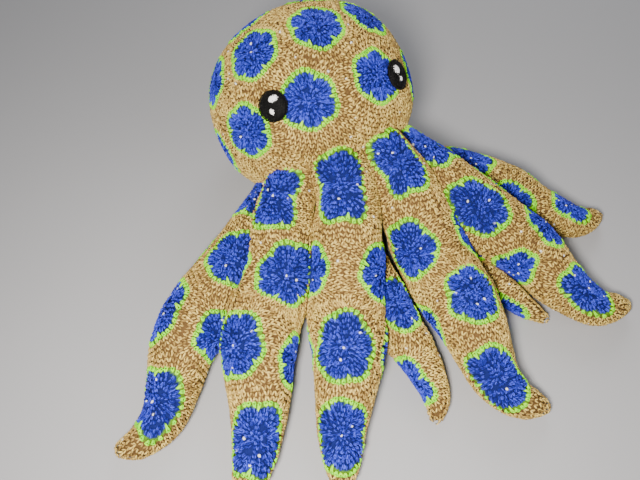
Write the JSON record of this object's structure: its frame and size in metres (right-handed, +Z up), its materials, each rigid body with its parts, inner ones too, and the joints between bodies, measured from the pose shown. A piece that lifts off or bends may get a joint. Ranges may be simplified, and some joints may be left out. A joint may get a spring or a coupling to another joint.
{
  "type": "crocheted octopus toy",
  "caption": "Stuffed crocheted octopus toy of African flower motifs, lying with its round head leaning back and its arms fanned out on the floor.",
  "frame": {"origin": "middle of the toy's box, on the surface that it rests on", "axes": "+Z up; the arms point towards -Y and +X, and the head leans back towards +Y"},
  "size_m": [0.6807, 0.685, 0.2889],
  "materials": {
    "tan_yarn": "matt worsted yarn, heathered tan, with blue flowers edged in lime green in the render",
    "black_yarn": "black yarn",
    "white_felt": "white felt"
  },
  "bodies": {
    "root": {"head": "tan_yarn", "neck": "tan_yarn", "arm_1_upper": "tan_yarn", "arm_1_middle": "tan_yarn", "arm_1_tip": "tan_yarn", "arm_2_upper": "tan_yarn", "arm_2_middle": "tan_yarn", "arm_2_tip": "tan_yarn", "arm_3_upper": "tan_yarn", "arm_3_middle": "tan_yarn", "arm_3_tip": "tan_yarn", "arm_4_upper": "tan_yarn", "arm_4_middle": "tan_yarn", "arm_4_tip": "tan_yarn", "arm_5_upper": "tan_yarn", "arm_5_middle": "tan_yarn", "arm_5_tip": "tan_yarn", "arm_6_upper": "tan_yarn", "arm_6_middle": "tan_yarn", "arm_6_tip": "tan_yarn", "arm_7_upper": "tan_yarn", "arm_7_middle": "tan_yarn", "arm_7_tip": "tan_yarn", "arm_8_upper": "tan_yarn", "arm_8_middle": "tan_yarn", "arm_8_tip": "tan_yarn", "eye_left": "black_yarn", "eye_right": "black_yarn", "eye_left_glint_large": "white_felt", "eye_left_glint_small": "white_felt", "eye_right_glint_large": "white_felt", "eye_right_glint_small": "white_felt"}
  },
  "joints": []
}
